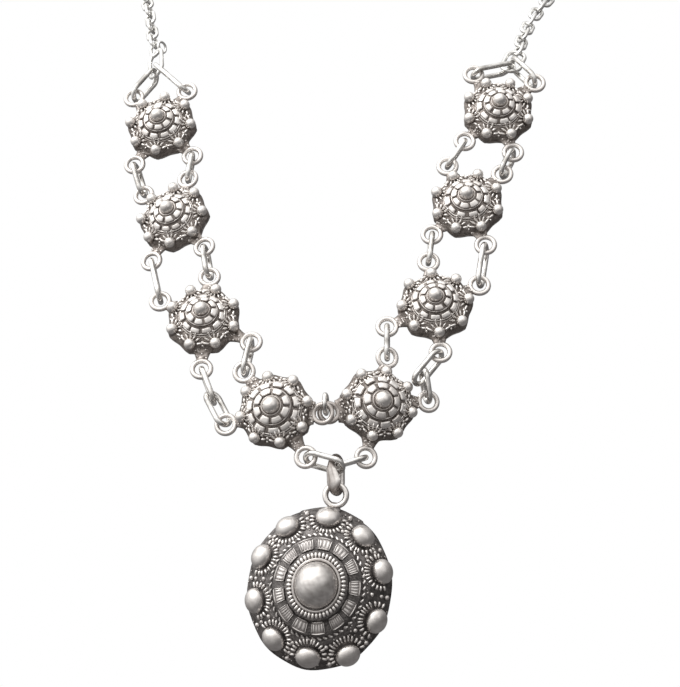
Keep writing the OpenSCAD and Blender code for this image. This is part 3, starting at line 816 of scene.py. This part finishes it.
def cloud(tree, scale, detail):
    """A noise texture over the object, as a socket."""
    coord = tree.nodes.get("place") or tree.nodes.new("ShaderNodeTexCoord")
    coord.name = "place"
    node = tree.nodes.new("ShaderNodeTexNoise")
    tree.links.new(coord.outputs["Object"], node.inputs["Vector"])
    node.inputs["Scale"].default_value = scale
    node.inputs["Detail"].default_value = detail
    return node.outputs["Fac"]


def ramp(tree, source, stops):
    """The colours of stops, [position, colour], picked by the source socket."""
    node = tree.nodes.new("ShaderNodeValToRGB")
    tree.links.new(source, node.inputs[0])
    elements = node.color_ramp.elements
    while len(elements) > 1:
        elements.remove(elements[-1])
    elements[0].position = stops[0][0]
    elements[0].color = (*stops[0][1], 1)
    for position, colour in stops[1:]:
        elements.new(position).color = (*colour, 1)
    return node.outputs[0]


def number(tree, operation, *values):
    """A Math node on sockets and plain numbers."""
    node = tree.nodes.new("ShaderNodeMath")
    node.operation = operation
    for socket, value in zip(node.inputs, values):
        if isinstance(value, (int, float)):
            socket.default_value = value
        else:
            tree.links.new(value, socket)
    return node.outputs[0]


def bump(tree, shader, height, strength, distance):
    node = tree.nodes.new("ShaderNodeBump")
    node.inputs["Strength"].default_value = strength
    node.inputs["Distance"].default_value = distance
    tree.links.new(height, node.inputs["Height"])
    tree.links.new(node.outputs[0], shader.inputs["Normal"])


def relief_silver(name, colours, rough):
    """Cast silver: blackened in the recesses, polished on the high parts, with fine pits. The tone it
    reads also holds the painted shade and painted highlights drawn into a piece.
    """
    mat, tree, shader = silver(name)
    # the piece's tone: wear, plus painted shade and painted highlights where a piece has them
    wear_and_light = tree.nodes.new("ShaderNodeAttribute")
    wear_and_light.attribute_name = "wear_and_light"
    centred = number(tree, "SUBTRACT", cloud(tree, scale=900, detail=4), NOISE_MIDDLE)
    tone = number(tree, "ADD", wear_and_light.outputs["Fac"], number(tree, "MULTIPLY", centred, PATCHES))
    tree.links.new(ramp(tree, tone, colours), shader.inputs["Base Color"])
    tree.links.new(ramp(tree, tone, rough), shader.inputs["Roughness"])
    bump(tree, shader, cloud(tree, scale=2600, detail=5), strength=0.35, distance=0.00006)
    return mat


def wire_silver(name, dark, light, shiny, dull):
    """Drawn silver wire with faint clouds of tarnish and handling marks."""
    mat, tree, shader = silver(name)
    tarnish = cloud(tree, scale=420, detail=3)
    tree.links.new(ramp(tree, tarnish, [(0.36, dark), (0.56, light)]), shader.inputs["Base Color"])
    marks = cloud(tree, scale=1500, detail=4)
    rough = [(0.35, grey(shiny)), (0.7, grey(dull))]
    tree.links.new(ramp(tree, marks, rough), shader.inputs["Roughness"])
    bump(tree, shader, marks, strength=0.25, distance=0.00005)
    return mat


SILVERS = {
    "button_silver": relief_silver("button_silver", RELIEF_COLOURS, RELIEF_ROUGH),
    "bail_silver": relief_silver("bail_silver", RELIEF_COLOURS, RELIEF_ROUGH),
    "pendant_silver": relief_silver("pendant_silver", PEND_COLOURS, PEND_ROUGH),
    "ring_silver": wire_silver("ring_silver", (0.46, 0.442, 0.42), (0.92, 0.908, 0.885), 0.16, 0.32),
    "chain_silver": wire_silver("chain_silver", (0.7, 0.69, 0.67), (0.95, 0.945, 0.925), 0.16, 0.32),
    "clasp_silver": wire_silver("clasp_silver", (0.7, 0.68, 0.66), (0.9, 0.885, 0.865), 0.12, 0.26),
}


# Pieces on their bodies

REDRAWN = set()  # the nodes that a redrawn piece stands for
SEED_STEP = 1.3  # from one button to the next


def give(obj, slot):
    obj.data.materials.clear()
    obj.data.materials.append(SILVERS[slot])


def settle(obj, slot, body, node):
    """Gives a redrawn piece its silver, and says what it rides on and which node it stands for."""
    give(obj, slot)
    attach(obj, body)
    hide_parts(node)
    REDRAWN.add(node)


for order, name in enumerate(BUTTONS):
    settle(button(name, SEED_STEP * order), "button_silver", "necklace", name)
settle(pendant(), "pendant_silver", "pendant", "pendant")
settle(bail(), "bail_silver", "bail", "bail")
for name in CHAINS:
    settle(chain(name), "chain_silver", "necklace", name)

for name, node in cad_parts.items():
    if name in REDRAWN:
        continue
    if name == "clasp":
        give(node, "clasp_silver")
    elif name.startswith("end_link") or name == "clasp_ring":
        give(node, "chain_silver")
    else:
        give(node, "ring_silver")
    node.data.polygons.foreach_set("use_smooth", [True] * len(node.data.polygons))


# Studio and camera. Places are metres.

FLOOR_Z, FLOOR_HALF = -0.34, 6.0
LIT_FROM = (-0.44, -0.4, 0.8)  # where the room is brightest
# The room's light by how far a direction turns towards that, from 0, straight away, to 1
ROOM = [(0.0, (0.11, 0.107, 0.107)), (0.3, (0.09, 0.087, 0.086)), (0.45, (0.17, 0.166, 0.164)),
        (0.6, (0.29, 0.284, 0.28)), (0.76, (0.48, 0.474, 0.468)), (0.9, (0.85, 0.845, 0.83)),
        (1.0, (1.05, 1.05, 1.04))]
ROOM_STRENGTH = 1.9
NECKLACE_MIDDLE = (0, -0.1, -0.08)

PHOTO_HEIGHT = 687  # pixels, the longer side of the frame
FOCAL_LENGTH = 1575.76  # in pixels of the photograph
SENSOR = 36  # millimetres
CAMERA_AT = (0.025, -0.3725, -0.1572)
CAMERA_AIM = (-0.0858, 0.9811, 0.1736)


def facing(direction):
    """The rotation that turns a lamp or camera to look along the direction."""
    return Vector(direction).to_track_quat("-Z", "Y").to_euler()


def white_to_camera(tree, shader, white, out):
    """Shows white in the picture and lets the shader's own light reach the object."""
    path = tree.nodes.new("ShaderNodeLightPath")
    mix = tree.nodes.new("ShaderNodeMixShader")
    tree.links.new(path.outputs["Is Camera Ray"], mix.inputs[0])
    tree.links.new(shader.outputs[0], mix.inputs[1])
    tree.links.new(white.outputs[0], mix.inputs[2])
    tree.links.new(mix.outputs[0], out.inputs[0])


def floor():
    mat = bpy.data.materials.new("pale_floor")
    mat.use_nodes = True
    tree = mat.node_tree
    shader = tree.nodes["Principled BSDF"]
    shader.inputs["Base Color"].default_value = (0.6, 0.59, 0.59, 1)
    shader.inputs["Roughness"].default_value = 0.9
    white = tree.nodes.new("ShaderNodeEmission")
    white_to_camera(tree, shader, white, tree.nodes["Material Output"])
    mesh = bpy.data.meshes.new("floor")
    corners = [(x * FLOOR_HALF, y * FLOOR_HALF, FLOOR_Z) for x, y in ((-1, -1), (1, -1), (1, 1), (-1, 1))]
    mesh.from_pydata(corners, [], [(0, 1, 2, 3)])
    obj = bpy.data.objects.new("floor", mesh)
    obj.data.materials.append(mat)
    bpy.context.scene.collection.objects.link(obj)
    obj.visible_glossy = False


def lamp(name, where, size, power):
    """A round soft lamp that shines at the middle of the necklace."""
    data = bpy.data.lights.new(name, "AREA")
    data.shape = "DISK"
    data.size = size
    data.energy = power
    obj = bpy.data.objects.new(name, data)
    obj.location = where
    obj.rotation_euler = facing(Vector(NECKLACE_MIDDLE) - Vector(where))
    bpy.context.scene.collection.objects.link(obj)


def room():
    """A soft bright patch up and to the left of the front, falling off to a dim room behind."""
    world = bpy.data.worlds.new("studio")
    bpy.context.scene.world = world
    world.use_nodes = True
    tree = world.node_tree
    tree.nodes.clear()
    out = tree.nodes.new("ShaderNodeOutputWorld")
    coord = tree.nodes.new("ShaderNodeTexCoord")
    towards = tree.nodes.new("ShaderNodeVectorMath")
    towards.operation = "DOT_PRODUCT"
    tree.links.new(coord.outputs["Generated"], towards.inputs[0])
    towards.inputs[1].default_value = Vector(LIT_FROM).normalized()
    share = number(tree, "MULTIPLY_ADD", towards.outputs["Value"], 0.5, 0.5)
    lit = tree.nodes.new("ShaderNodeBackground")
    tree.links.new(ramp(tree, share, ROOM), lit.inputs["Color"])
    lit.inputs["Strength"].default_value = ROOM_STRENGTH
    white = tree.nodes.new("ShaderNodeBackground")
    white.inputs["Color"].default_value = (1, 1, 1, 1)
    white_to_camera(tree, lit, white, out)


def camera():
    data = bpy.data.cameras.new("camera")
    data.sensor_width = SENSOR
    data.lens = FOCAL_LENGTH / PHOTO_HEIGHT * SENSOR
    data.clip_start = 0.01
    obj = bpy.data.objects.new("camera", data)
    obj.location = CAMERA_AT
    obj.rotation_euler = facing(CAMERA_AIM)
    bpy.context.scene.collection.objects.link(obj)
    bpy.context.scene.camera = obj


floor()
lamp("key", (-0.4, -0.5, 0.42), size=0.26, power=1.5)
lamp("fill", (0.5, -0.6, 0.1), size=0.5, power=0.25)
room()
camera()
bpy.context.scene.view_settings.view_transform = "Standard"
